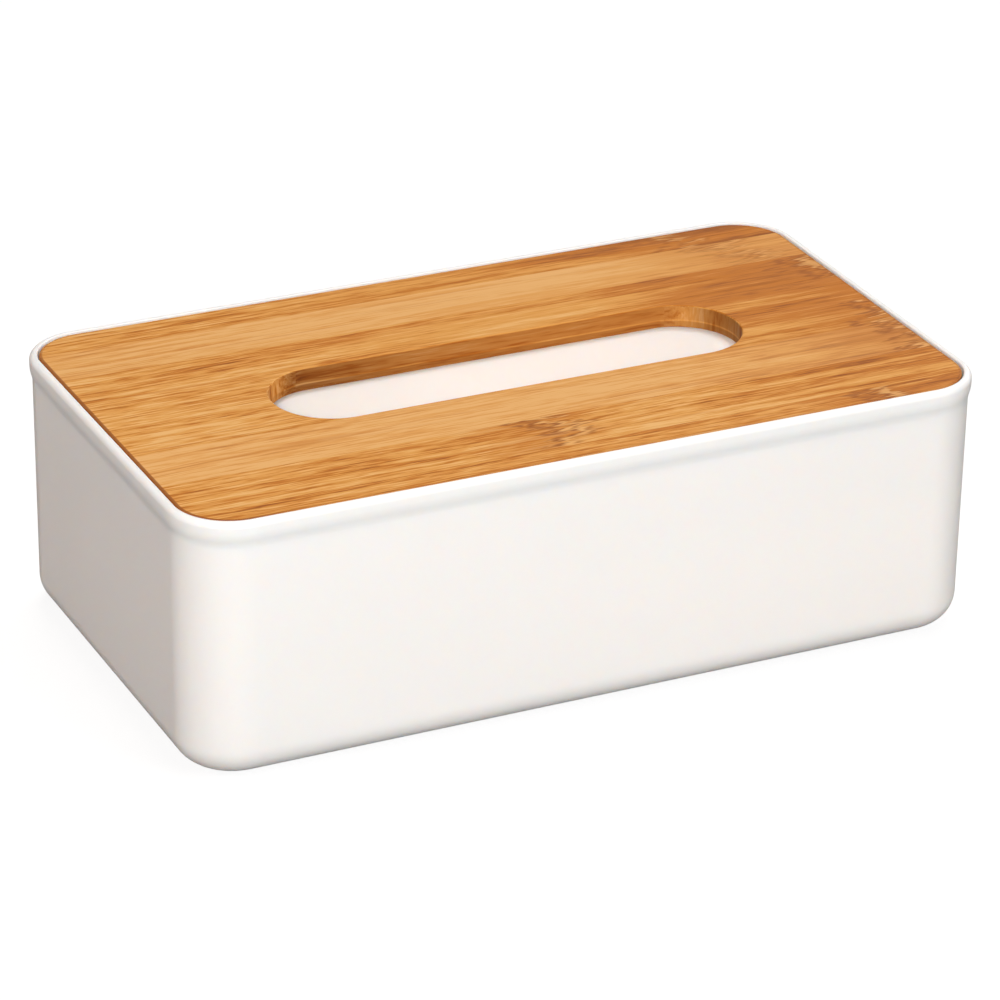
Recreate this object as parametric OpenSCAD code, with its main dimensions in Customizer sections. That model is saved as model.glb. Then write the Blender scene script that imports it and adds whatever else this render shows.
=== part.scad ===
// Tissue box: a white moulded box with a bamboo lid that lies in its rim.
// The origin is the middle of the underside, +X runs along the length.

/* [Box] */
// Length over the rim
box_l = 262; // [200:1:320]
// Width over the rim
box_w = 149; // [110:1:200]
// Height from the standing ring to the top of the rim
box_h = 84; // [55:1:120]
// Radius of the upright corners, outside the rim
corner_r = 19.5; // [14:0.5:30]
// Thickness of the walls, under the ledge
wall_t = 3.4; // [2.6:0.1:4]
// Thickness of the floor
floor_t = 2.8; // [2:0.1:5]
// Radius of the round between the walls and the underside
foot_r = 10; // [4:0.5:14]
// Slope of the walls' outer side, in degrees
draft_out = 0.2; // [0:0.1:1]
// Slope of the walls' inner side, in degrees
draft_in = 0.5; // [0:0.1:1]

/* [Rim] */
// How far the rim stands out from the walls
flare_out = 0.8; // [0.2:0.1:1]
// Height over which the walls flare out to the rim
flare_h = 5; // [4:0.5:10]
// Height of the rim above the flare
rim_h = 3.5; // [2:0.5:8]
// Radius of the rim's top edge on the outside
rim_round = 1.9; // [0.5:0.1:2.5]
// Radius of the rim's top edge towards the lid
rim_inner = 0.4; // [0.2:0.1:0.6]
// Width of the ledge that carries the lid
ledge_w = 1.7; // [1.2:0.1:1.8]
// How far the rim stands above the lid
lip_h = 0.4; // [0:0.1:2]

/* [Underside] */
// Width of the ring that the box stands on
stand_w = 3; // [2:0.5:6]
// Depth of the recess inside the ring
stand_h = 0.8; // [0.4:0.1:1.5]

/* [Lid] */
// Thickness of the lid
lid_t = 7.5; // [5:0.5:12]
// Gap between the lid and the rim, all round
lid_gap = 0.5; // [0.2:0.1:0.9]
// Rounding of the lid's edges
lid_round = 0.6; // [0.2:0.1:1.5]

/* [Slot] */
// Length of the slot
slot_l = 156; // [100:1:180]
// Width of the slot
slot_w = 38; // [25:0.5:60]
// Shift of the slot from the middle, along the length
slot_shift = 3; // [-5:0.5:5]
// Rounding of the slot's edges
slot_round = 0.6; // [0.2:0.1:1.5]

/* [Hidden] */
$fn = 96;
// How far a cutter reaches past the face that it opens
past = 1;
// Smallest radius that the recess's corners come down to
least_r = 1;
// How far a round's arc crosses the faces that it meets, so that no step is left
hair = 0.0002;

// The corners' axes stand at the corners of this core, and a section's x is
// measured outwards from them
core_l = box_l - 2 * corner_r;
core_w = box_w - 2 * corner_r;

// Outside of the wall
body_r = corner_r - flare_out;
flare_top = box_h - rim_h;
flare_z = flare_top - flare_h;
flare_r = (pow(flare_h, 2) + pow(flare_out, 2)) / (4 * flare_out);
foot_round = min(foot_r, body_r - stand_w - 2 * least_r);

// Inside of the wall
ledge_in = body_r - wall_t;
ledge_out = ledge_in + ledge_w;
ledge_z = box_h - lip_h - lid_t;
rim_t = corner_r - ledge_out;
crest_out = min(rim_round, 0.85 * rim_t, 0.9 * rim_h);
crest_in = min(rim_inner, 0.9 * (rim_t - crest_out));
floor_z = stand_h + floor_t;
floor_round = max(least_r, foot_round - wall_t);

// Lid
lid_r = ledge_out - lid_gap;

// Distance of the wall's outer and inner side from the axis, at a height
function outer_x(z) = body_r - (flare_z - z) * tan(draft_out);
function inner_x(z) = ledge_in - (ledge_z - z) * tan(draft_in);

// What a round takes off the corner between a level line and a side that
// leans out by slope, where side_x is the side's place at the round's height
module round_off(side_x, level, r, slope) {
    centre = [side_x - r / cos(slope), level + r];
    foot = [centre[0], level];
    across = [cos(slope), -sin(slope)];
    difference() {
        polygon([
            centre,
            foot,
            foot - [0, past],
            [side_x + past, level - past],
            centre + (r + past) * across
        ]);
        translate(centre)
            circle(r = r + hair);
    }
}

// What easing an edge takes off a square corner
module ease(r) {
    difference() {
        square(r + past);
        circle(r = r);
    }
}

// What the wall's S-shaped swing out to the rim takes off a straight side
module flare_curve() {
    middle = [(body_r + corner_r) / 2, flare_z + flare_h / 2];
    intersection() {
        translate([body_r, flare_z])
            square([flare_out + past, flare_h / 2]);
        translate([body_r + flare_r, flare_z])
            circle(r = flare_r);
    }
    difference() {
        translate(middle)
            square([flare_out / 2 + past, flare_h / 2]);
        translate([corner_r - flare_r, flare_top])
            circle(r = flare_r);
    }
}

// Outline of the box, filled in to the corner's axis
module outside() {
    difference() {
        union() {
            polygon([[0, 0], [outer_x(0), 0], [body_r, flare_z], [0, flare_z]]);
            translate([0, flare_z])
                square([corner_r, box_h - flare_z]);
        }
        round_off(outer_x(foot_round), 0, foot_round, draft_out);
        flare_curve();
        translate([corner_r - crest_out, box_h - crest_out])
            ease(crest_out);
    }
}

// Outline of the hollow, with the ledge and the seat of the lid
module hollow() {
    difference() {
        polygon([
            [0, floor_z],
            [inner_x(floor_z), floor_z],
            [ledge_in, ledge_z],
            [ledge_out, ledge_z],
            [ledge_out, box_h],
            [0, box_h]
        ]);
        round_off(inner_x(floor_z + floor_round), floor_z, floor_round, draft_in);
    }
    translate([ledge_out + crest_in, box_h - crest_in])
        mirror([1, 0])
            ease(crest_in);
}

// Section of the box's wall and of the floor's edge
module wall_section() {
    stand_x = max(least_r, outer_x(foot_round) - foot_round - stand_w);
    difference() {
        outside();
        hollow();
        square([stand_x, stand_h]);
    }
}

// Section of the lid's edge
module lid_section() {
    difference() {
        square([lid_r, lid_t]);
        for (top = [0, 1])
            translate([lid_r - lid_round, top ? lid_t - lid_round : lid_round])
                mirror([0, 1 - top])
                    ease(lid_round);
    }
}

// Section of what the slot takes out of the lid, with its eased edges
module slot_section() {
    translate([0, -past])
        square([slot_w / 2, lid_t + 2 * past]);
    for (top = [0, 1])
        translate([slot_w / 2 + slot_round, top ? lid_t - slot_round : slot_round])
            mirror([0, 1 - top])
                mirror([1, 0])
                    ease(slot_round);
}

// Carries a section round a rounded rectangle
module carry_round(length, width) {
    for (quarter = [0:3]) {
        across = quarter % 2 == 0 ? length : width;
        along = quarter % 2 == 0 ? width : length;
        rotate([0, 0, 90 * quarter])
            translate([across / 2, along / 2, 0]) {
                rotate_extrude(angle = 90)
                    children();
                if (along > 0)
                    rotate([90, 0, 0])
                        linear_extrude(height = along)
                            children();
            }
    }
}

// White box, moulded in one piece
module base() {
    color("white") {
        carry_round(core_l, core_w)
            wall_section();
        translate([-core_l / 2, -core_w / 2, stand_h])
            cube([core_l, core_w, floor_t]);
    }
}

// Bamboo board with the slot for the tissues
module lid() {
    color("burlywood")
        translate([0, 0, ledge_z])
            difference() {
                union() {
                    carry_round(core_l, core_w)
                        lid_section();
                    translate([-core_l / 2, -core_w / 2, 0])
                        cube([core_l, core_w, lid_t]);
                }
                translate([slot_shift, 0, 0])
                    carry_round(slot_l - slot_w, 0)
                        slot_section();
            }
}

base();
lid();
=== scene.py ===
"""Looks of the tissue box: a white moulded box with a bamboo lid lying in its rim.

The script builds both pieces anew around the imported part, in metres and in the
part's frame: the box is traced as a wall section and carried round the plan, the
lid is cut from a board. It then dresses them and sets up the studio.
"""

import logging
import math
from dataclasses import dataclass
from enum import Enum
from typing import Callable, Sequence

import bmesh
import bpy
from mathutils import Matrix, Vector

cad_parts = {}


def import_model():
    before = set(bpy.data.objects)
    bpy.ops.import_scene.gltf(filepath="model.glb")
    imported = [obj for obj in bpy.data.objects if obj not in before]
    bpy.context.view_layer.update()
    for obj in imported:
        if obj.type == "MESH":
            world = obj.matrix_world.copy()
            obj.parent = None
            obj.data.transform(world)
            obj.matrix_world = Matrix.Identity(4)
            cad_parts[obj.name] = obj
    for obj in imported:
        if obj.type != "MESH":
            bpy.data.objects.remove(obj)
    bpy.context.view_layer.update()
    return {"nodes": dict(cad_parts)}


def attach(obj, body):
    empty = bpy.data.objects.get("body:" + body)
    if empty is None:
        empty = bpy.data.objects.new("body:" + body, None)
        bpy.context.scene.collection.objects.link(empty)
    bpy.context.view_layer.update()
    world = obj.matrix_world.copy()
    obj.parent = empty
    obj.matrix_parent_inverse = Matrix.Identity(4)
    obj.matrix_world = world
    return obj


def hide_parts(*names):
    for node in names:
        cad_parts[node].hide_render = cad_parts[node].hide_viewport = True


LOG = logging.getLogger("tissue_box")

MM = 0.001
TOUCH = 1e-6
"""Points closer than this, in metres, are one point."""
NEAR = 20 * TOUCH
"""A vertex closer than this to a corner's place is that corner."""
MERGE = 5 * TOUCH
"""Vertices closer than this are merged."""
CREASE = math.radians(50)
"""Edges that turn further than this stay sharp in the shading."""

NUMBER = "NodeSocketFloat"
NODE_SPACE = 180
"""How far apart nodes are laid out."""

LAMP_AIM = Vector((0, 0, 40 * MM))
"""The point that the lamps look at."""
WHITE = (1.0, 1.0, 1.0)

Pair = tuple[float, float]
Triple = tuple[float, float, float]
Colour = Triple
Socket = bpy.types.NodeSocket
Value = Socket | float | int


class Body(Enum):
    """The part's bodies that a piece can ride on."""

    BASE = "base"
    LID = "lid"


class Slot(Enum):
    """The record's material slots."""

    PLASTIC = "white_plastic"
    BAMBOO = "bamboo"


class Blend(Enum):
    """How one colour is laid over another."""

    MIX = "MIX"
    MULTIPLY = "MULTIPLY"


# Modelling


def begin_piece(name: str, centre: Vector, spread: Vector) -> bpy.types.Object:
    """Adds a plane at its size and place, named, and opens it in edit mode.

    Args:
        name: The piece's name.
        centre: Where the plane's middle lies.
        spread: The plane's size along X and Y.

    Returns:
        The new object, in edit mode, with nothing selected.
    """
    bpy.ops.object.select_all(action="DESELECT")
    bpy.ops.mesh.primitive_plane_add(size=1, location=centre)
    piece = bpy.context.object
    piece.name = name
    piece.data.name = name
    piece.scale = (spread.x, spread.y, 1)
    bpy.ops.object.transform_apply(location=True, rotation=True, scale=True)
    bpy.ops.object.mode_set(mode="EDIT")
    bpy.ops.mesh.select_all(action="DESELECT")
    return piece


def pick(kind: str, wanted: Callable[[object], bool] = lambda part: True) -> None:
    """Selects the vertices, edges or faces of the piece in edit mode that fit a test.

    Args:
        kind: VERT, EDGE or FACE.
        wanted: The test on one vertex, edge or face, which all of them fit if it isn't given.
    """
    bpy.ops.mesh.select_mode(type=kind)
    bpy.ops.mesh.select_all(action="DESELECT")
    mesh = bpy.context.object.data
    shape = bmesh.from_edit_mesh(mesh)
    parts = {"VERT": shape.verts, "EDGE": shape.edges, "FACE": shape.faces}[kind]
    shape.normal_update()
    for part in [part for part in parts if wanted(part)]:
        part.select_set(True)
    shape.select_flush_mode()
    bmesh.update_edit_mesh(mesh)


def round_corners(radius: float, steps: int) -> None:
    """Rounds the selected corners of a line or a face.

    Args:
        radius: The rounds' radius.
        steps: Edges that each round is made of.
    """
    bpy.ops.mesh.bevel(
        offset=radius, segments=steps, profile=0.5, affect="VERTICES", clamp_overlap=False
    )


def draw_out(x: float, y: float, z: float) -> None:
    """Draws the selected edges or faces out, by a distance along each axis."""
    bpy.ops.mesh.extrude_region_move(TRANSFORM_OT_translate={"value": (x, y, z)})


def end_piece(piece: bpy.types.Object) -> bpy.types.Object:
    """Closes a piece: merges doubles, turns faces outwards and smooths its rounds.

    Args:
        piece: The object in edit mode.

    Returns:
        The same object, in object mode.
    """
    bpy.ops.mesh.select_mode(type="VERT")
    bpy.ops.mesh.select_all(action="SELECT")
    bpy.ops.mesh.remove_doubles(threshold=MERGE)
    bpy.ops.mesh.dissolve_degenerate(threshold=TOUCH)
    bpy.ops.mesh.normals_make_consistent(inside=False)
    bpy.ops.mesh.select_all(action="DESELECT")
    bpy.ops.object.mode_set(mode="OBJECT")
    bpy.ops.object.shade_smooth_by_angle(angle=CREASE)
    even = piece.modifiers.new("EvenShade", "WEIGHTED_NORMAL")
    even.keep_sharp = True
    even.weight = 100
    bpy.ops.object.modifier_apply(modifier=even.name)
    return piece


@dataclass(frozen=True)
class Corner:
    """One corner of a section, with the round that eases it.

    Attributes:
        out: Distance from the corner's upright axis.
        up: Height.
        round: Radius of the round, or 0 for a sharp corner.
        steps: Edges that the round is made of.
    """

    out: float
    up: float
    round: float = 0.0
    steps: int = 1


@dataclass
class MouldedBox:
    """The white box, moulded in one piece, with a flared rim and a ledge for the lid.

    Attributes:
        length: Length over the rim.
        width: Width over the rim.
        height: Height to the top of the rim.
        corner: Radius of the upright corners, outside the rim.
        wall: Thickness of the walls.
        floor: Thickness of the floor.
        foot: Radius of the round between the walls and the underside.
        draft_out: Slope of the walls' outer side, in radians.
        draft_in: Slope of the walls' inner side, in radians.
        flare: How far the rim stands out from the walls.
        flare_height: Height over which the walls swing out.
        swing: Radius of the swing's two bends, as a share of that height.
        rim_height: Height of the rim above the flare.
        rim_round: Radius of the rim's top edge on the outside.
        rim_inner: Radius of the rim's top edge towards the lid.
        ledge: Width of the ledge that carries the lid.
        ledge_up: Height of the ledge.
        stand: Width of the ring that the box stands on.
        recess: Depth of the recess inside that ring.
        eased: Radius of the edges that have no round of their own.
        turn_steps: Edges round one upright corner.
    """

    length: float = 262 * MM
    width: float = 149 * MM
    height: float = 84 * MM
    corner: float = 19.5 * MM
    wall: float = 3.4 * MM
    floor: float = 2.8 * MM
    foot: float = 10 * MM
    draft_out: float = math.radians(0.2)
    draft_in: float = math.radians(0.5)
    flare: float = 0.8 * MM
    flare_height: float = 5 * MM
    swing: float = 0.249
    rim_height: float = 3.5 * MM
    rim_round: float = 1.9 * MM
    rim_inner: float = 0.4 * MM
    ledge: float = 1.7 * MM
    ledge_up: float = 76.1 * MM
    stand: float = 3 * MM
    recess: float = 0.8 * MM
    eased: float = 0.25 * MM
    turn_steps: int = 36

    @property
    def axis(self) -> Vector:
        """Gives the upright axis of the right back corner."""
        return Vector((self.length / 2 - self.corner, self.width / 2 - self.corner, 0))

    def section(self) -> list[Corner]:
        """Lists the wall section's corners, from under the floor up and back inside.

        Returns:
            The corners in order, open at both ends.
        """
        face = self.corner - self.flare
        bend = self.height - self.rim_height - self.flare_height / 2
        foot_out = face - bend * math.tan(self.draft_out)
        inside = face - self.wall
        seat = inside + self.ledge
        level = self.recess + self.floor
        inner_foot = inside - (self.ledge_up - level) * math.tan(self.draft_in)
        ring = foot_out + self.foot * math.tan(self.draft_out) - self.foot - self.stand
        swing = self.swing * self.flare_height
        return [
            Corner(0, self.recess),
            Corner(ring, self.recess, self.eased, 3),
            Corner(ring, 0, self.eased, 3),
            Corner(foot_out, 0, self.foot, 18),
            Corner(face, bend - self.flare_height / 4, swing, 8),
            Corner(self.corner, bend + self.flare_height / 4, swing, 8),
            Corner(self.corner, self.height, self.rim_round, 12),
            Corner(seat, self.height, self.rim_inner, 5),
            Corner(seat, self.ledge_up, self.eased, 3),
            Corner(inside, self.ledge_up, self.eased, 3),
            Corner(inner_foot, level, self.foot - self.wall, 14),
            Corner(0, level),
        ]

    def trace_section(self) -> None:
        """Draws the section's line in the corner's plane and rounds its corners."""
        places = [self.axis + Vector((c.out, 0, c.up)) for c in self.section()]
        pick("VERT")
        bpy.ops.mesh.merge(type="CENTER")
        for start, end in zip(places, places[1:]):
            bpy.ops.mesh.extrude_vertices_move(TRANSFORM_OT_translate={"value": end - start})
        for place, corner in zip(places, self.section()):
            if corner.round:
                pick("VERT", lambda vertex: (vertex.co - place).length < NEAR)
                round_corners(corner.round, corner.steps)

    def carry_round(self) -> None:
        """Turns the section round the corner and draws it along both half sides."""
        axis = self.axis
        pick("VERT")
        bpy.ops.mesh.spin(steps=self.turn_steps, angle=-math.pi / 2, center=axis, axis=(0, 0, 1))
        pick("EDGE", lambda edge: all(abs(v.co.x - axis.x) < TOUCH for v in edge.verts))
        draw_out(-axis.x, 0, 0)
        pick(
            "EDGE",
            lambda edge: edge.calc_length() > TOUCH
            and all(abs(v.co.y - axis.y) < TOUCH and v.co.x > axis.x - TOUCH for v in edge.verts),
        )
        draw_out(0, -axis.y, 0)

    def close_floor(self) -> None:
        """Fills the floor and the underside inside the corners' axes."""
        axis = self.axis
        for level in (self.recess, self.recess + self.floor):
            pick(
                "EDGE",
                lambda edge: edge.calc_length() > axis.y / 2
                and all(
                    abs(v.co.x - axis.x) < TOUCH and abs(v.co.z - level) < TOUCH for v in edge.verts
                ),
            )
            draw_out(-axis.x, 0, 0)

    def build(self) -> bpy.types.Object:
        """Models the box.

        Returns:
            The finished object.
        """
        start = self.axis + Vector((0, 0, self.recess))
        piece = begin_piece("moulded_box", start, Vector((MM, MM)))
        self.trace_section()
        self.carry_round()
        self.close_floor()
        pick("VERT")
        bpy.ops.mesh.remove_doubles(threshold=MERGE)
        bpy.ops.object.mode_set(mode="OBJECT")
        mirror = piece.modifiers.new("FourQuarters", "MIRROR")
        mirror.use_axis = (True, True, False)
        mirror.merge_threshold = MERGE
        bpy.ops.object.modifier_apply(modifier=mirror.name)
        bpy.ops.object.mode_set(mode="EDIT")
        return end_piece(piece)


@dataclass
class BambooLid:
    """The bamboo board that lies in the rim, with a slot for the tissues.

    Attributes:
        length: Length of the board.
        width: Width of the board.
        thickness: Thickness of the board.
        bottom: Height of the board's underside.
        corner: Radius of its corners.
        slot_length: Length of the slot.
        slot_width: Width of the slot.
        slot_shift: Shift of the slot along the length.
        edge: Radius of the eased edges.
        sharp: Edges that turn further than this are eased.
        edge_steps: Edges round one eased edge.
        turn_steps: Edges round one corner.
    """

    length: float = 256 * MM
    width: float = 143 * MM
    thickness: float = 7.5 * MM
    bottom: float = 76.1 * MM
    corner: float = 16.5 * MM
    slot_length: float = 156 * MM
    slot_width: float = 38 * MM
    slot_shift: float = 3 * MM
    edge: float = 0.6 * MM
    sharp: float = math.radians(80)
    edge_steps: int = 6
    turn_steps: int = 32

    def cut_board(self) -> None:
        """Draws the board's outline and the slot's, and joins them into a ring."""
        top = self.bottom + self.thickness
        pick("VERT")
        round_corners(self.corner, self.turn_steps)
        bpy.ops.mesh.select_all(action="DESELECT")
        bpy.ops.mesh.primitive_plane_add(size=1, location=(self.slot_shift, 0, top))
        bpy.ops.transform.resize(value=(self.slot_length, self.slot_width, 1))
        round_corners(self.slot_width / 2, self.turn_steps)
        pick("VERT")
        bpy.ops.mesh.remove_doubles(threshold=MERGE)
        bpy.ops.mesh.delete(type="ONLY_FACE")
        straight = self.slot_length - self.slot_width
        pick("EDGE", lambda edge: abs(edge.calc_length() - straight) < MM)
        bpy.ops.mesh.subdivide(number_cuts=1)
        pick("EDGE")
        bpy.ops.mesh.bridge_edge_loops()

    def give_thickness(self) -> None:
        """Draws the ring down to the underside and eases its sharp edges."""
        pick("FACE")
        draw_out(0, 0, -self.thickness)
        pick("VERT")
        bpy.ops.mesh.normals_make_consistent(inside=False)
        pick("EDGE", lambda edge: edge.is_manifold and edge.calc_face_angle() > self.sharp)
        bpy.ops.mesh.bevel(
            offset=self.edge, segments=self.edge_steps, profile=0.5, affect="EDGES"
        )

    def build(self) -> bpy.types.Object:
        """Models the lid.

        Returns:
            The finished object.
        """
        place = Vector((0, 0, self.bottom + self.thickness))
        piece = begin_piece("bamboo_board", place, Vector((self.length, self.width)))
        self.cut_board()
        self.give_thickness()
        return end_piece(piece)


# Materials


class NodeSheet:
    """Adds nodes to one node tree and joins them."""

    def __init__(self, tree: bpy.types.NodeTree) -> None:
        """Takes the tree to work in."""
        self.tree = tree

    def add(self, kind: str, **settings: object) -> bpy.types.Node:
        """Adds a node to the right of the others.

        Args:
            kind: The node's type.
            settings: Properties to set on it.

        Returns:
            The node.
        """
        node = self.tree.nodes.new(kind)
        node.location.x = NODE_SPACE * len(self.tree.nodes)
        for key, value in settings.items():
            setattr(node, key, value)
        return node

    def feed(self, target: Socket, source: object) -> None:
        """Links a socket to an input, or sets the input to a value.

        Args:
            target: The input.
            source: The socket or the value.
        """
        if isinstance(source, bpy.types.NodeSocket):
            self.tree.links.new(source, target)
        elif hasattr(source, "__len__") and len(source) == 3 and target.type == "RGBA":
            target.default_value = (*source, 1)
        else:
            target.default_value = source

    def math(self, operation: str, *values: Value) -> Socket:
        """Works out a number.

        Args:
            operation: The Math node's operation.
            values: Its inputs in order.

        Returns:
            The result's socket.
        """
        node = self.add("ShaderNodeMath", operation=operation)
        for target, value in zip(node.inputs, values):
            self.feed(target, value)
        return node.outputs[0]

    def times(self, first: Value, second: Value) -> Socket:
        """Multiplies two numbers."""
        return self.math("MULTIPLY", first, second)

    def less(self, first: Value, second: Value) -> Socket:
        """Takes the second number from the first."""
        return self.math("SUBTRACT", first, second)

    def sway(self, noise: Socket, reach: float, base: Value = 0.0) -> Socket:
        """Adds to base a noise that is centred on 0 and whose range is reach."""
        return self.math("MULTIPLY_ADD", self.less(noise, 0.5), reach, base)

    def span(
        self, value: Value, low: Value, high: Value, to: tuple[Value, Value] = (0.0, 1.0)
    ) -> Socket:
        """Maps a value smoothly from one range to another.

        Args:
            value: The value.
            low: Where the result is the first end of the new range.
            high: Where it is the second end.
            to: The new range.

        Returns:
            The result's socket.
        """
        node = self.add("ShaderNodeMapRange", interpolation_type="SMOOTHSTEP")
        for target, source in zip(node.inputs, (value, low, high, *to)):
            self.feed(target, source)
        return node.outputs[0]

    def mix(
        self, share: Value, first: object, second: object, blend: Blend = Blend.MIX
    ) -> Socket:
        """Lays one colour over another.

        Args:
            share: How much of the second shows.
            first: The colour below.
            second: The colour above.
            blend: How it is laid on.

        Returns:
            The result's socket.
        """
        node = self.add("ShaderNodeMix", data_type="RGBA", blend_type=blend.value)
        factor, below, above = (node.inputs[i] for i in (0, 6, 7))
        for target, source in ((factor, share), (below, first), (above, second)):
            self.feed(target, source)
        return node.outputs[2]

    def ramp(
        self, value: Socket, stops: Sequence[tuple[float, Colour]], steps: bool = False
    ) -> Socket:
        """Turns a value into a colour.

        Args:
            value: The value, from 0 to 1.
            stops: Places and colours in order.
            steps: Whether each colour holds up to the next stop.

        Returns:
            The colour's socket.
        """
        node = self.add("ShaderNodeValToRGB")
        band = node.color_ramp
        band.interpolation = "CONSTANT" if steps else "EASE"
        while len(band.elements) < len(stops):
            band.elements.new(1.0)
        for element, (place, colour) in zip(band.elements, stops):
            element.position = place
            element.color = (*colour, 1)
        self.feed(node.inputs[0], value)
        return node.outputs[0]

    def split(self, colour: Socket, vector: bool = False) -> list[Socket]:
        """Takes a colour or a vector apart.

        Args:
            colour: The colour or the vector.
            vector: Whether it is a vector.

        Returns:
            The sockets of its three parts.
        """
        node = self.add("ShaderNodeSeparateXYZ" if vector else "ShaderNodeSeparateColor")
        self.feed(node.inputs[0], colour)
        return list(node.outputs)[:3]

    def join(self, *parts: Value) -> Socket:
        """Makes a vector of numbers.

        Args:
            parts: Its parts along X, Y and Z; what isn't given is 0.

        Returns:
            The vector's socket.
        """
        node = self.add("ShaderNodeCombineXYZ")
        for target, part in zip(node.inputs, parts):
            self.feed(target, part)
        return node.outputs[0]

    def seen_by(self, *rays: str) -> Socket:
        """Finds whether a ray that meets the surface is of certain kinds.

        Args:
            rays: The kinds, by their names in the Light Path node.

        Returns:
            1 for a ray of one of these kinds, or 0.
        """
        path = self.add("ShaderNodeLightPath")
        seen: Value = 0.0
        for ray in rays:
            seen = self.math("MAXIMUM", seen, path.outputs[f"Is {ray} Ray"])
        return seen

    def relief(self, shader: bpy.types.Node, height: Socket, strength: float, depth: float) -> None:
        """Gives a shader a fine relief.

        Args:
            shader: The Principled node.
            height: The relief's height.
            strength: How strongly it shows.
            depth: What a height of 1 amounts to, in metres.
        """
        bump = self.add("ShaderNodeBump")
        bump.inputs["Strength"].default_value = strength
        bump.inputs["Distance"].default_value = depth
        self.feed(bump.inputs["Height"], height)
        self.feed(shader.inputs["Normal"], bump.outputs["Normal"])

    def group(self, tree: bpy.types.NodeTree, **values: object) -> dict[str, Socket]:
        """Places a node group.

        Args:
            tree: The group's tree.
            values: Its inputs by name, with _ for a space.

        Returns:
            Its outputs by name.
        """
        node = self.add("ShaderNodeGroup", node_tree=tree)
        for key, value in values.items():
            self.feed(node.inputs[key.replace("_", " ")], value)
        return {socket.name: socket for socket in node.outputs}


@dataclass(frozen=True)
class Fade:
    """A number that goes smoothly from one value to another, as a second number rises.

    Attributes:
        start: The second number where the change begins.
        end: The second number where it ends.
        before: The value up to the start.
        after: The value from the end on.
    """

    start: float
    end: float
    before: float = 0.0
    after: float = 1.0

    def over(self, sheet: NodeSheet, value: Value) -> Socket:
        """Works the number out from the second number, value."""
        return sheet.span(value, self.start, self.end, (self.before, self.after))


@dataclass(frozen=True)
class Weave:
    """A noise that is stretched along the board.

    Attributes:
        scale: Waves to the metre along the board, across it and upwards.
        detail: How many finer layers it has.
        rough: How strong the finer layers are.
    """

    scale: Triple
    detail: float
    rough: float = 0.5

    def over(self, sheet: NodeSheet, place: Socket, shift: Socket) -> Socket:
        """Draws the noise.

        Args:
            sheet: The sheet to work in.
            place: The coordinates.
            shift: What is added to them once they are scaled.

        Returns:
            The noise's socket, from 0 to 1.
        """
        scaled = sheet.add("ShaderNodeVectorMath", operation="MULTIPLY")
        moved = sheet.add("ShaderNodeVectorMath", operation="ADD")
        noise = sheet.add("ShaderNodeTexNoise")
        sheet.feed(scaled.inputs[0], place)
        scaled.inputs[1].default_value = self.scale
        sheet.feed(moved.inputs[0], scaled.outputs[0])
        sheet.feed(moved.inputs[1], shift)
        sheet.feed(noise.inputs["Vector"], moved.outputs[0])
        noise.inputs["Scale"].default_value = 1
        noise.inputs["Detail"].default_value = self.detail
        noise.inputs["Roughness"].default_value = self.rough
        return noise.outputs["Fac"]


def new_group(
    name: str, inputs: dict[str, float], outputs: Sequence[str]
) -> tuple[NodeSheet, dict[str, Socket], bpy.types.Node]:
    """Starts a node group that takes a place and some numbers, and gives numbers.

    Args:
        name: The group's name.
        inputs: The numbers that it takes, by name, with their defaults.
        outputs: The names of those that it gives.

    Returns:
        The sheet to work in, the inputs by name, and the output node.
    """
    tree = bpy.data.node_groups.new(name, "ShaderNodeTree")
    tree.interface.new_socket(name="Place", in_out="INPUT", socket_type="NodeSocketVector")
    for key, value in inputs.items():
        socket = tree.interface.new_socket(name=key, in_out="INPUT", socket_type=NUMBER)
        socket.default_value = value
    for key in outputs:
        tree.interface.new_socket(name=key, in_out="OUTPUT", socket_type=NUMBER)
    sheet = NodeSheet(tree)
    entry = sheet.add("NodeGroupInput")
    leave = sheet.add("NodeGroupOutput")
    return sheet, {socket.name: socket for socket in entry.outputs}, leave


def handled_surface() -> bpy.types.NodeTree:
    """Makes the group for a used surface: fine grain, slow waves and rubbed patches.

    Returns:
        The group's tree.
    """
    scales = {"Grain Scale": 1500.0, "Wave Scale": 40.0, "Rub Scale": 25.0}
    names = ("Grain", "Wave", "Rub")
    sheet, given, leave = new_group("HandledSurface", scales, names)
    for name, scale, detail in zip(names, scales, (3.0, 1.0, 5.0)):
        node = sheet.add("ShaderNodeTexNoise")
        sheet.feed(node.inputs["Vector"], given["Place"])
        sheet.feed(node.inputs["Scale"], given[scale])
        node.inputs["Detail"].default_value = detail
        sheet.feed(leave.inputs[name], node.outputs["Fac"])
    return sheet.tree


def new_material(name: str) -> tuple[bpy.types.Material, NodeSheet, bpy.types.Node, Socket]:
    """Starts a material.

    Args:
        name: The material's name.

    Returns:
        The material, its sheet, its Principled node and its Object coordinates.
    """
    material = bpy.data.materials.new(name)
    material.use_nodes = True
    sheet = NodeSheet(material.node_tree)
    shader = material.node_tree.nodes["Principled BSDF"]
    place = sheet.add("ShaderNodeTexCoord")
    return material, sheet, shader, place.outputs["Object"]


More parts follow.
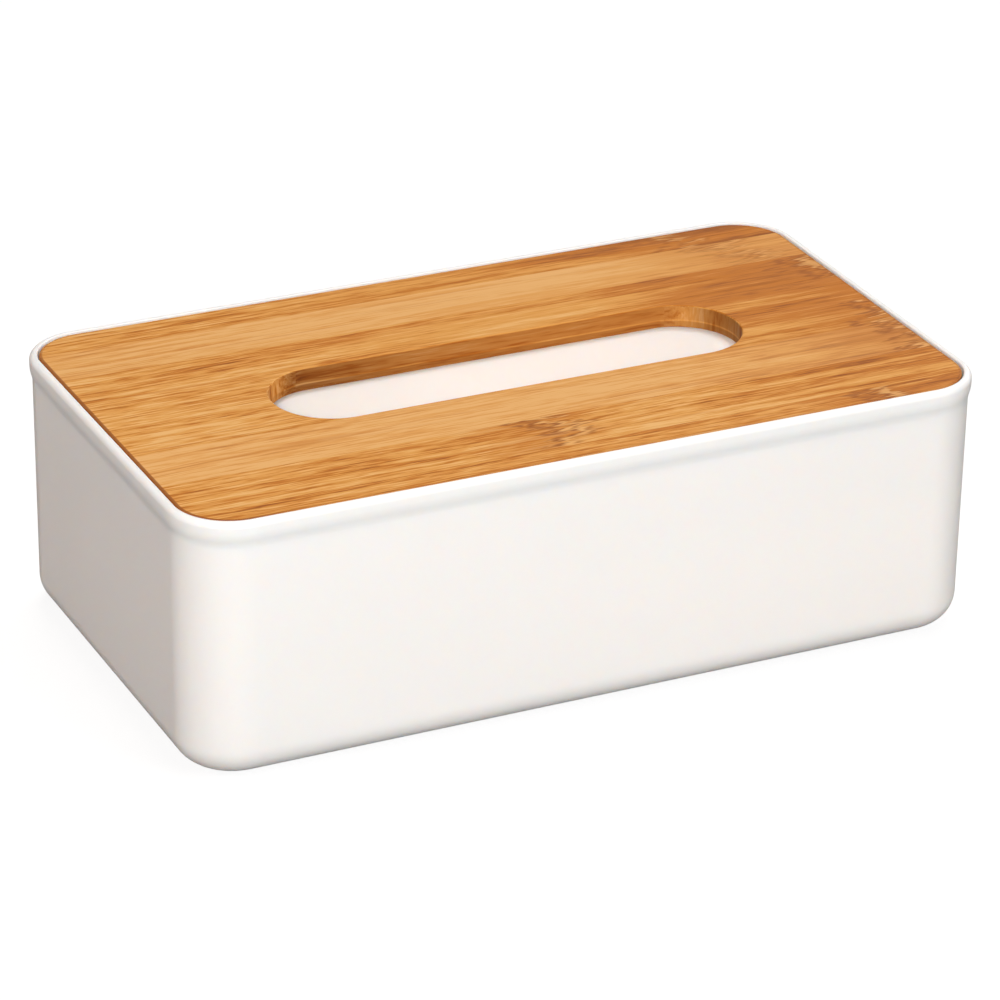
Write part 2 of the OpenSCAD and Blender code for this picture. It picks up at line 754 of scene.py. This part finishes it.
@dataclass(frozen=True)
class SatinPlastic:
    """White plastic, moulded with a satin surface.

    Attributes:
        colour: The plastic's colour.
        shade: Its colour in the fainter clouds.
        gloss: Roughness, from where it has been rubbed smooth to where it hasn't.
        grain: How high the fine grain stands against the slow waves.
        relief: How strongly the surface's unevenness shows, and how deep it is.
        ior: The plastic's index of refraction.
        glow: How much of the light goes into it.
        depth: How far that light goes, in metres, for red, green and blue.
    """

    colour: Colour = (0.905, 0.885, 0.865)
    shade: Colour = (0.885, 0.863, 0.84)
    gloss: Fade = Fade(0.3, 0.7, 0.34, 0.44)
    grain: float = 0.12
    relief: Pair = (0.35, 0.12 * MM)
    ior: float = 1.48
    glow: float = 0.8
    depth: Triple = (3.0 * MM, 2.5 * MM, 2.1 * MM)

    def make(self, surface: bpy.types.NodeTree) -> bpy.types.Material:
        """Makes the material.

        Args:
            surface: The group for a handled surface.

        Returns:
            The material.
        """
        material, sheet, shader, place = new_material("satin_plastic")
        scales = {"Grain_Scale": 1800.0, "Wave_Scale": 28.0, "Rub_Scale": 22.0}
        worn = sheet.group(surface, Place=place, **scales)
        sheet.feed(shader.inputs["Base Color"], sheet.mix(worn["Rub"], self.colour, self.shade))
        sheet.feed(shader.inputs["Roughness"], self.gloss.over(sheet, worn["Rub"]))
        height = sheet.math("MULTIPLY_ADD", worn["Grain"], self.grain, worn["Wave"])
        sheet.relief(shader, height, *self.relief)
        shader.inputs["IOR"].default_value = self.ior
        shader.inputs["Subsurface Weight"].default_value = self.glow
        shader.inputs["Subsurface Radius"].default_value = self.depth
        shader.inputs["Subsurface Scale"].default_value = 1.0
        return material


@dataclass(frozen=True)
class Strip:
    """One of the bamboo strips that the board is glued from.

    Attributes:
        edge: Where it begins, across the board.
        knuckle: Where its knuckle lies, along the board.
        force: How strongly the knuckle shows.
        tone: How light the strip is, where 0.5 is plain.
        dusk: How much it darkens towards the right end.
    """

    edge: float
    knuckle: float
    force: float
    tone: float
    dusk: float


STRIPS = (
    Strip(-80 * MM, 98 * MM, 1.0, 0.46, 0.95),
    Strip(-62.6 * MM, -4 * MM, 1.0, 0.49, 0.8),
    Strip(-41.9 * MM, 124 * MM, 0.9, 0.65, 1.0),
    Strip(-19.7 * MM, 122 * MM, 1.0, 0.49, 0.75),
    Strip(-0.5 * MM, 145 * MM, 0.5, 0.47, 0.8),
    Strip(18.6 * MM, 126 * MM, 0.9, 0.51, 0.95),
    Strip(39.0 * MM, 107 * MM, 0.5, 0.60, 0.55),
    Strip(58.4 * MM, 90 * MM, 0.7, 0.42, 0.9),
)


@dataclass(frozen=True)
class Grain:
    """The fibres of the bamboo.

    Attributes:
        drift: Noise that lets the fibres drift to the side.
        drift_reach: How far they drift.
        bands: Soft bands.
        streaks: Streaks.
        fine: Fine lines.
        pores: Noise whose peaks are pores.
        pore_fade: How far a pore is open, by that noise.
        strip_step: How far the noises move from strip to strip.
    """

    drift: Weave = Weave((14, 30, 30), 1)
    drift_reach: float = 2.4 * MM
    bands: Weave = Weave((9, 150, 150), 3, 0.55)
    streaks: Weave = Weave((20, 640, 640), 3, 0.6)
    fine: Weave = Weave((90, 1400, 1400), 2, 0.6)
    pores: Weave = Weave((11, 820, 820), 1)
    pore_fade: Fade = Fade(0.58, 0.72)
    strip_step: Triple = (7.31, 3.17, 0.0)

    def make(self) -> bpy.types.NodeTree:
        """Makes the group for the fibres.

        Returns:
            The group's tree.
        """
        names = ("Bands", "Streaks", "Fine", "Pores")
        sheet, given, leave = new_group("BambooFibres", {"Strip": 0.0}, names)
        shift = sheet.join(*(sheet.times(given["Strip"], step) for step in self.strip_step))
        along, across, up = sheet.split(given["Place"], vector=True)
        drift = self.drift.over(sheet, given["Place"], shift)
        place = sheet.join(along, sheet.sway(drift, self.drift_reach, across), up)
        weaves = (self.bands, self.streaks, self.fine, self.pores)
        drawn = [weave.over(sheet, place, shift) for weave in weaves]
        drawn[-1] = self.pore_fade.over(sheet, drawn[-1])
        for name, socket in zip(names, drawn):
            sheet.feed(leave.inputs[name], socket)
        return sheet.tree


@dataclass(frozen=True)
class Knuckles:
    """The strips' knuckles: a soft stain, dark jagged lines and pale splinters.

    Attributes:
        sweep: Noise that bends the lines as a whole.
        jag: Noise that frays them.
        stray: How far each of the two can push a line.
        gaps: Noise that breaks the lines up.
        gap_fade: What the gaps leave of the lines, by that noise.
        lines: Place, half width and force of each dark line, along the board.
        core: Half width of a line's darkest part.
        flame: Place of the splinters, along the board.
        flame_fade: How strong they are, by the distance from that place.
        flame_gaps: How strong they are, by what the gaps leave of the lines.
        cloud: Noise that spreads the stain.
        spread: How far it can push the stain.
        lead: How the stain rises before the knuckle, along the board.
        tail: How it fades behind it.
        strip_step: How far the noises move from strip to strip.
    """

    sweep: Weave = Weave((0, 80, 80), 1)
    jag: Weave = Weave((40, 560, 560), 2, 0.55)
    stray: float = 30 * MM
    gaps: Weave = Weave((75, 330, 330), 2, 0.6)
    gap_fade: Fade = Fade(0.36, 0.5)
    lines: tuple[Triple, ...] = (
        (-6.5 * MM, 3.4 * MM, 0.9),
        (-0.5 * MM, 3.2 * MM, 1.0),
        (6.5 * MM, 2.4 * MM, 0.6),
    )
    core: float = 0.3 * MM
    flame: float = 3.2 * MM
    flame_fade: Fade = Fade(0.5 * MM, 3.4 * MM, 1.0, 0.0)
    flame_gaps: Fade = Fade(0.1, 0.8)
    cloud: Weave = Weave((26, 170, 170), 3, 0.6)
    spread: float = 50 * MM
    lead: Fade = Fade(-36 * MM, -2 * MM)
    tail: Fade = Fade(2 * MM, 18 * MM, 1.0, 0.0)
    strip_step: float = 5.3

    def make(self) -> bpy.types.NodeTree:
        """Makes the group for a strip's knuckle.

        Returns:
            The group's tree.
        """
        names = ("Stain", "Chevrons", "Splinters")
        sheet, given, leave = new_group("BambooKnuckle", {"Knuckle": 0.0, "Strip": 0.0}, names)
        place = given["Place"]
        shift = sheet.join(sheet.times(given["Strip"], self.strip_step))
        off = sheet.less(sheet.split(place, vector=True)[0], given["Knuckle"])
        for weave in (self.sweep, self.jag):
            off = sheet.sway(weave.over(sheet, place, shift), self.stray, off)
        gaps = self.gap_fade.over(sheet, self.gaps.over(sheet, place, shift))
        dark: Value = 0.0
        for middle, width, force in self.lines:
            line = sheet.math("ABSOLUTE", sheet.less(off, middle))
            dark = sheet.math("MAXIMUM", dark, sheet.span(line, self.core, width, (force, 0.0)))
        sheet.feed(leave.inputs["Chevrons"], sheet.times(dark, gaps))
        flame = sheet.math("ABSOLUTE", sheet.less(off, self.flame))
        flame = sheet.times(self.flame_fade.over(sheet, flame), self.flame_gaps.over(sheet, gaps))
        sheet.feed(leave.inputs["Splinters"], flame)
        far = sheet.sway(self.cloud.over(sheet, place, shift), self.spread, off)
        stain = sheet.times(self.lead.over(sheet, far), self.tail.over(sheet, far))
        sheet.feed(leave.inputs["Stain"], stain)
        return sheet.tree


@dataclass(frozen=True)
class Spot:
    """What the bamboo knows of the point that it colours.

    Attributes:
        along: Its place along the board.
        across: Its place across the board.
        up: Its height.
        upright: How far its face stands upright.
        ended: How far its face cuts the fibres' ends.
        clear: How clearly the grain shows there.
    """

    along: Socket
    across: Socket
    up: Socket
    upright: Socket
    ended: Socket
    clear: Socket


@dataclass(frozen=True)
class Bamboo:
    """Pressed bamboo strips, sanded and oiled.

    Attributes:
        pale: The lightest fibres.
        plain: The strips' main colour.
        warm: The softer peach tone of some strips.
        brown: The darker fibres.
        deep: The darkest lines and the knuckles, and the painted shade of the gap at the board's
            edge.
        tones: Where deep, brown, plain and pale lie on the scale of tones.
        side: What the board's upright sides keep of the colour.
        end: What the cut ends of the fibres keep of it.
        painted_shade: What the sides' and ends' darker parts keep of theirs, as painted shade.
        lower: What the lower layer keeps in them.
        glue: The look of the joint between the layers, in them.
        layer: Height of that joint.
        squeeze: What the fibres' height keeps at the cut ends.
        upright: How far a face counts as upright, by how far it faces up or down.
        ended: How far it counts as a cut end, by how far it faces left or right.
        clear_left: How clear the grain is, along the board.
        clear_front: How clear it is, across the board.
        clear_right: What is left of both towards the right end.
        strips: The strips, from front to back.
        reach: How far from the middle a knuckle can lie.
        grain: The fibres.
        knuckles: The knuckles.
        grain_force: How far streaks, fine lines and bands change the tone.
        pore_force: How strongly the pores show.
        knuckle_force: How strongly stain, dark lines and splinters show.
        rub_scale: Rubbed patches to the metre.
        dusk: How dark the right end is, along the board.
        dusk_stray: How far rubbed patches and bands shift that.
        dusk_force: How far the tone falls there.
        peach: How much of the warm tone a light strip takes.
        peach_fade: How far a strip counts as light, by its tone.
        core: The board's half length and width inside its corners' axes.
        corner: Radius of its corners.
        line: How strong the painted shade of the gap round the board is, a dark line at its edge,
            by the depth below the edge.
        gap_shade_left: How strong it is, along the board.
        gap_shade_back: How strong it is, across the board.
        painted_shade_left: How far the painted shade darkens the sides, along the board.
        painted_shade_right: How far the painted shade darkens all that is upright, along the board.
        lower_share: Share of the lower layer's look, by the height above the joint.
        glue_share: Share of the joint's look, by the distance from it.
        gloss: Roughness, from the darker to the lighter fibres.
        streak_height: How high the streaks stand against the fine lines.
        relief: How strongly the grain's relief shows, and how deep it is.
        shine: How strongly the oil shines.
    """

    pale: Colour = (0.75, 0.425, 0.152)
    plain: Colour = (0.66, 0.305, 0.067)
    warm: Colour = (0.68, 0.342, 0.118)
    brown: Colour = (0.485, 0.160, 0.017)
    deep: Colour = (0.25, 0.068, 0.009)
    tones: tuple[float, ...] = (0.0, 0.25, 0.5, 0.78)
    side: Colour = (0.62, 0.50, 0.43)
    end: Colour = (1.12, 1.06, 1.04)
    painted_shade: Colour = (0.45, 0.41, 0.41)
    lower: Colour = (0.55, 0.5, 0.45)
    glue: Colour = (1.0, 0.95, 0.9)
    layer: float = 78.6 * MM
    squeeze: float = 0.12
    upright: Fade = Fade(0.35, 0.85, 1.0, 0.0)
    ended: Fade = Fade(0.2, 0.7)
    clear_left: Fade = Fade(-90 * MM, 20 * MM, 1.0, 0.5)
    clear_front: Fade = Fade(-50 * MM, 30 * MM, 1.0, 0.5)
    clear_right: Fade = Fade(40 * MM, 105 * MM, 1.0, 0.7)
    strips: tuple[Strip, ...] = STRIPS
    reach: float = 150 * MM
    grain: Grain = Grain()
    knuckles: Knuckles = Knuckles()
    grain_force: Triple = (1.35, 1.3, 0.75)
    pore_force: float = 0.45
    knuckle_force: Triple = (0.55, 0.85, 0.65)
    rub_scale: float = 30.0
    dusk: Fade = Fade(15 * MM, 120 * MM)
    dusk_stray: Pair = (60 * MM, -90 * MM)
    dusk_force: float = 0.32
    peach: float = 0.35
    peach_fade: Fade = Fade(0.5, 0.62)
    core: Pair = (111.5 * MM, 55 * MM)
    corner: float = 16.5 * MM
    line: Fade = Fade(0.75 * MM, 1.2 * MM, 1.0, 0.0)
    gap_shade_left: Fade = Fade(-114 * MM, -92 * MM, 0.9, 0.3)
    gap_shade_back: Fade = Fade(54 * MM, 68 * MM, 1.0, 0.3)
    painted_shade_left: Fade = Fade(-75 * MM, -10 * MM, 0.6, 0.0)
    painted_shade_right: Fade = Fade(66 * MM, 80 * MM)
    lower_share: Fade = Fade(-0.4 * MM, 0.1 * MM, 0.35, 0.0)
    glue_share: Fade = Fade(0.1 * MM, 0.45 * MM, 0.4, 0.0)
    gloss: Fade = Fade(0.2, 0.8, 0.68, 0.55)
    streak_height: float = 0.7
    relief: Pair = (0.5, 0.04 * MM)
    shine: float = 0.15

    def find_spot(self, sheet: NodeSheet, place: Socket) -> Spot:
        """Finds what the material has to know of a point.

        Args:
            sheet: The sheet to work in.
            place: The point's coordinates.

        Returns:
            The facts.
        """
        along, across, up = sheet.split(place, vector=True)
        facing = sheet.split(sheet.add("ShaderNodeNewGeometry").outputs["True Normal"], vector=True)
        left, front = self.clear_left.over(sheet, along), self.clear_front.over(sheet, across)
        clear = sheet.times(sheet.math("MAXIMUM", left, front), self.clear_right.over(sheet, along))
        return Spot(
            along=along,
            across=across,
            up=up,
            upright=self.upright.over(sheet, sheet.math("ABSOLUTE", facing[2])),
            ended=self.ended.over(sheet, sheet.math("ABSOLUTE", facing[0])),
            clear=clear,
        )

    def strip_facts(self, sheet: NodeSheet, across: Socket) -> tuple[Socket, list[Socket]]:
        """Finds the strip of a point, and what that strip is like.

        Args:
            sheet: The sheet to work in.
            across: The point's place across the board.

        Returns:
            The strip's number, and its knuckle, force, tone and dusk.
        """
        number: Value = 0.0
        for strip in self.strips[1:]:
            number = sheet.math("ADD", number, sheet.math("GREATER_THAN", across, strip.edge))
        count = len(self.strips)
        share = sheet.math("DIVIDE", sheet.math("ADD", number, 0.5), count)
        facts, dusks = [], []
        for i, strip in enumerate(self.strips):
            knuckle = strip.knuckle / (2 * self.reach) + 0.5
            facts.append((i / count, (knuckle, strip.force, strip.tone)))
            dusks.append((i / count, (strip.dusk,) * 3))
        place, force, tone = sheet.split(sheet.ramp(share, facts, steps=True))
        dusk = sheet.split(sheet.ramp(share, dusks, steps=True))[0]
        place = sheet.math("MULTIPLY_ADD", place, 2 * self.reach, -self.reach)
        return number, [place, force, tone, dusk]

    def painted_gap_shade(self, sheet: NodeSheet, spot: Spot) -> Socket:
        """Finds the painted shade of the gap between the board and the rim: a dark line at the
        board's edge, strongest on the left.

        Args:
            sheet: The sheet to work in.
            spot: The point.

        Returns:
            How strongly the line shows.
        """
        past = [
            sheet.math("MAXIMUM", sheet.less(sheet.math("ABSOLUTE", part), half), 0.0)
            for part, half in zip((spot.along, spot.across), self.core)
        ]
        square = sheet.math("MULTIPLY_ADD", past[0], past[0], sheet.times(past[1], past[1]))
        depth = sheet.less(self.corner, sheet.math("SQRT", square))
        line = sheet.times(self.line.over(sheet, depth), self.gap_shade_left.over(sheet, spot.along))
        return sheet.times(line, self.gap_shade_back.over(sheet, spot.across))

    def cut_look(self, sheet: NodeSheet, spot: Spot) -> Socket:
        """Finds what the upright faces keep of the colour, with painted shade towards the left and
        at the right end.

        Args:
            sheet: The sheet to work in.
            spot: The point.

        Returns:
            The share kept of red, green and blue.
        """
        look = sheet.mix(spot.ended, self.side, self.end)
        # Painted shade: the sides darker towards the left, and all upright faces darker at the
        # right end
        painted_shade = sheet.times(self.painted_shade_left.over(sheet, spot.along), sheet.less(1.0, spot.ended))
        painted_shade = sheet.math("ADD", painted_shade, self.painted_shade_right.over(sheet, spot.along))
        look = sheet.mix(painted_shade, look, self.painted_shade, Blend.MULTIPLY)
        off = sheet.less(spot.up, self.layer)
        below = self.lower_share.over(sheet, off)
        look = sheet.mix(below, look, self.lower, Blend.MULTIPLY)
        joint = self.glue_share.over(sheet, sheet.math("ABSOLUTE", off))
        return sheet.mix(joint, look, self.glue)

    def make(self, surface: bpy.types.NodeTree) -> bpy.types.Material:
        """Makes the material.

        Args:
            surface: The group for a handled surface.

        Returns:
            The material.
        """
        material, sheet, shader, place = new_material("bamboo_strips")
        rub = sheet.group(surface, Place=place, Rub_Scale=self.rub_scale)["Rub"]
        spot = self.find_spot(sheet, place)
        number, (knuckle, force, tone, dusk) = self.strip_facts(sheet, spot.across)
        # Cut ends show the fibres as upright dashes, so their height is squeezed there
        squeeze = sheet.span(spot.ended, 0.0, 1.0, (1.0, self.squeeze))
        up = sheet.math("MULTIPLY_ADD", sheet.less(spot.up, self.layer), squeeze, self.layer)
        sawn = sheet.join(spot.along, spot.across, up)
        fibre = sheet.group(self.grain.make(), Place=sawn, Strip=number)
        mark = sheet.group(self.knuckles.make(), Place=place, Knuckle=knuckle, Strip=number)

        # The tone: the strip's own, the grain's, and less towards the right end
        streak, fine, band = self.grain_force
        light = sheet.sway(fibre["Fine"], fine, sheet.sway(fibre["Streaks"], streak))
        light = sheet.sway(fibre["Bands"], band, sheet.times(light, spot.clear))
        light = sheet.math("ADD", light, tone)
        by_rub, by_band = self.dusk_stray
        wander = sheet.sway(fibre["Bands"], by_band, sheet.sway(rub, by_rub, spot.along))
        late = sheet.times(self.dusk.over(sheet, wander), dusk)
        late = sheet.times(late, sheet.less(1.0, spot.upright))
        light = sheet.math("MULTIPLY_ADD", late, -self.dusk_force, light)

        # The colour, from the plain fibres to the marks on them
        scale = zip(self.tones, (self.deep, self.brown, self.plain, self.pale))
        colour = sheet.ramp(light, list(scale))
        peach = sheet.times(self.peach_fade.over(sheet, tone), self.peach)
        colour = sheet.mix(peach, colour, self.warm)
        pores = sheet.times(fibre["Pores"], sheet.times(spot.clear, self.pore_force))
        colour = sheet.mix(pores, colour, self.brown)
        layers = (("Stain", self.brown), ("Chevrons", self.deep), ("Splinters", self.pale))
        for (name, tint), strength in zip(layers, self.knuckle_force):
            share = sheet.times(mark[name], sheet.times(force, strength))
            colour = sheet.mix(share, colour, tint)
        # Painted shade of the gap round the board, as a dark line along its edge
        colour = sheet.mix(self.painted_gap_shade(sheet, spot), colour, self.deep)
        colour = sheet.mix(spot.upright, colour, self.cut_look(sheet, spot), Blend.MULTIPLY)
        sheet.feed(shader.inputs["Base Color"], colour)

        sheet.feed(shader.inputs["Roughness"], self.gloss.over(sheet, fibre["Streaks"]))
        height = sheet.math("MULTIPLY_ADD", fibre["Streaks"], self.streak_height, fibre["Fine"])
        sheet.relief(shader, sheet.less(height, fibre["Pores"]), *self.relief)
        shader.inputs["Specular IOR Level"].default_value = self.shine
        return material


# Studio


def direction(turn: float, rise: float) -> Vector:
    """Gives the direction from the object to something that stands round it.

    Args:
        turn: Its angle round the object, in degrees; 0 is the front, 90 the right.
        rise: Its angle above the floor, in degrees.

    Returns:
        The direction, with length 1.
    """
    turn, rise = math.radians(turn), math.radians(rise)
    level = math.cos(rise)
    return Vector((math.sin(turn) * level, -math.cos(turn) * level, math.sin(rise)))


def add_lamp(name: str, size: Pair, power: float, colour: Colour) -> bpy.types.Object:
    """Adds a rectangular lamp in the part's origin, which faces down.

    Args:
        name: The lamp's name.
        size: Its sides.
        power: Its power in watts.
        colour: Its colour.

    Returns:
        The lamp's object.
    """
    light = bpy.data.lights.new(name, "AREA")
    light.shape = "RECTANGLE"
    light.size, light.size_y = size
    light.energy = power
    light.color = colour
    lamp = bpy.data.objects.new(name, light)
    bpy.context.scene.collection.objects.link(lamp)
    return lamp


@dataclass(frozen=True)
class Softbox:
    """A square lamp that looks at the middle of the object.

    Attributes:
        name: The lamp's name.
        turn: Its direction round the object, in degrees; 0 is the front, 90 the right.
        rise: Its angle above the floor, in degrees.
        away: Its distance.
        size: Its side.
        power: Its power in watts.
        colour: Its colour.
    """

    name: str
    turn: float
    rise: float
    away: float
    size: float
    power: float
    colour: Colour = WHITE

    def place(self) -> None:
        """Puts the lamp up."""
        toward = direction(self.turn, self.rise)
        lamp = add_lamp(self.name, (self.size, self.size), self.power, self.colour)
        lamp.location = toward * self.away + LAMP_AIM
        lamp.rotation_mode = "QUATERNION"
        lamp.rotation_quaternion = (-toward).to_track_quat("-Z", "Y")


@dataclass(frozen=True)
class InnerCard:
    """A card of light under the lid's front half, which faces down and back.

    It stands for the light that many small bounces carry into a thin white box.

    Attributes:
        middle: Where its middle is.
        size: Its length and width.
        tilt: Its turn from facing down towards the back wall, in degrees.
        power: Its power in watts.
        colour: Its colour.
    """

    middle: Triple = (58 * MM, -44 * MM, 65 * MM)
    size: Pair = (125 * MM, 40 * MM)
    tilt: float = 30
    power: float = 0.04
    colour: Colour = (1.0, 0.95, 0.92)

    def place(self) -> None:
        """Puts the card up, where neither the camera nor a gloss sees it."""
        lamp = add_lamp("inner_card", self.size, self.power, self.colour)
        lamp.location = self.middle
        lamp.rotation_euler = (math.radians(self.tilt), 0, 0)
        lamp.visible_camera = False
        lamp.visible_glossy = False


@dataclass
class Studio:
    """The floor, the lamps and the surroundings.

    Attributes:
        lamps: The lamps outside.
        card: The card of light inside the box.
        sky: Strength of the light from all round.
        sky_colour: Its colour.
        floor_size: Side of the floor.
        floor_colour: The floor's colour.
        floor_rough: Its roughness.
        floor_lift: What the camera sees added to the floor near the object.
        floor_fade: Distances from the object between which that rises to white.
    """

    lamps: tuple[Softbox, ...] = (
        Softbox("at_camera", -25.7, 25.7, 1.9, 0.05, 28.3),
        Softbox("right_front", 35, 32, 2.0, 1.0, 11.4),
        Softbox("high_back", 150, 68, 2.0, 1.0, 16, (1.0, 0.97, 0.92)),
        Softbox("right_back", 122, 28, 2.0, 1.0, 8.5, (1.0, 0.97, 0.94)),
        Softbox("warm_left", -100, 30, 2.0, 1.0, 7.2, (1.0, 0.79, 0.69)),
    )
    card: InnerCard = InnerCard()
    sky: float = 0.04
    sky_colour: Colour = (1.0, 0.9, 0.8)
    floor_size: float = 30
    floor_colour: Colour = (0.27, 0.27, 0.27)
    floor_rough: float = 0.9
    floor_lift: float = 0.79
    floor_fade: Pair = (0.4, 2.4)

    def lay_floor(self) -> None:
        """Lays the floor, which the camera sees fade into white."""
        bpy.ops.object.select_all(action="DESELECT")
        bpy.ops.mesh.primitive_plane_add(size=self.floor_size, location=(0, 0, 0))
        floor = bpy.context.object
        floor.name = "studio_floor"
        material, sheet, shader, place = new_material("pale_floor")
        sheet.feed(shader.inputs["Base Color"], self.floor_colour)
        shader.inputs["Roughness"].default_value = self.floor_rough
        shader.inputs["Specular IOR Level"].default_value = 0.0
        far = sheet.add("ShaderNodeVectorMath", operation="LENGTH")
        sheet.feed(far.inputs[0], place)
        lift = sheet.span(far.outputs["Value"], *self.floor_fade, (self.floor_lift, 1.0))
        lift = sheet.times(sheet.seen_by("Camera", "Transmission"), lift)
        sheet.feed(shader.inputs["Emission Color"], WHITE)
        sheet.feed(shader.inputs["Emission Strength"], lift)
        floor.data.materials.append(material)

    def light_sky(self) -> None:
        """Lights the surroundings, which the camera sees as plain white."""
        world = bpy.data.worlds.new("studio_surroundings")
        world.use_nodes = True
        bpy.context.scene.world = world
        sheet = NodeSheet(world.node_tree)
        glow = world.node_tree.nodes["Background"]
        seen = sheet.seen_by("Camera", "Glossy", "Transmission")
        sheet.feed(glow.inputs["Color"], sheet.mix(seen, self.sky_colour, WHITE))
        sheet.feed(glow.inputs["Strength"], sheet.span(seen, 0.0, 1.0, (self.sky, 1.0)))

    def build(self) -> None:
        """Sets the studio up."""
        self.lay_floor()
        self.light_sky()
        for lamp in (*self.lamps, self.card):
            lamp.place()


@dataclass(frozen=True)
class Viewpoint:
    """The camera, at the photograph's angle.

    Attributes:
        turn: Its direction round the object, in degrees; 0 is the front.
        rise: Its angle above the floor, in degrees.
        roll: Its turn about its own axis, in degrees.
        away: Its distance from the point that it looks past.
        aim: That point.
        slide: How far it stands to the right of and above the line through that point.
        lens: Its focal length in millimetres.
        sensor: Its sensor's width in millimetres.
        clip: Distances between which it sees.
    """

    turn: float = -25.692
    rise: float = 25.566
    roll: float = 0.910
    away: float = 1397.98 * MM
    aim: Triple = (0.0, 0.0, 42 * MM)
    slide: Pair = (0.53 * MM, -4.70 * MM)
    lens: float = 162.83
    sensor: float = 36
    clip: Pair = (0.05, 60)

    def build(self) -> None:
        """Puts the camera up."""
        turn, roll = math.radians(self.turn), math.radians(self.roll)
        back = direction(self.turn, self.rise)
        right = Vector((math.cos(turn), math.sin(turn), 0))
        up = back.cross(right)
        side = math.cos(roll) * right + math.sin(roll) * up
        top = -math.sin(roll) * right + math.cos(roll) * up
        data = bpy.data.cameras.new("viewpoint")
        data.sensor_width = self.sensor
        data.lens = self.lens
        data.clip_start, data.clip_end = self.clip
        camera = bpy.data.objects.new("viewpoint", data)
        place = Vector(self.aim) + self.slide[0] * side + self.slide[1] * top + self.away * back
        facing = Matrix((side, top, back)).transposed().to_4x4()
        camera.matrix_world = Matrix.Translation(place) @ facing
        bpy.context.scene.collection.objects.link(camera)
        bpy.context.scene.camera = camera


# Assembly


def dress(
    piece: bpy.types.Object, material: bpy.types.Material, body: Body, node: str
) -> None:
    """Gives a piece its material and ties it to the part.

    Args:
        piece: The finished piece.
        material: Its material.
        body: The body that it rides on.
        node: The part's node that it stands for.
    """
    piece.data.materials.clear()
    piece.data.materials.append(material)
    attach(piece, body.value)
    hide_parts(node)
    piece.data.calc_loop_triangles()
    LOG.info("%s: %d triangles", piece.name, len(piece.data.loop_triangles))


def main() -> None:
    """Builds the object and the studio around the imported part."""
    logging.basicConfig(level=logging.INFO, format="%(name)s: %(message)s")
    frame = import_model()
    LOG.info("part's nodes: %s", ", ".join(sorted(frame["nodes"])))
    bpy.context.scene.view_settings.view_transform = "Standard"
    Viewpoint().build()
    surface = handled_surface()
    dress(MouldedBox().build(), SatinPlastic().make(surface), Body.BASE, "base")
    dress(BambooLid().build(), Bamboo().make(surface), Body.LID, "lid")
    Studio().build()


if __name__ == "__main__":
    main()
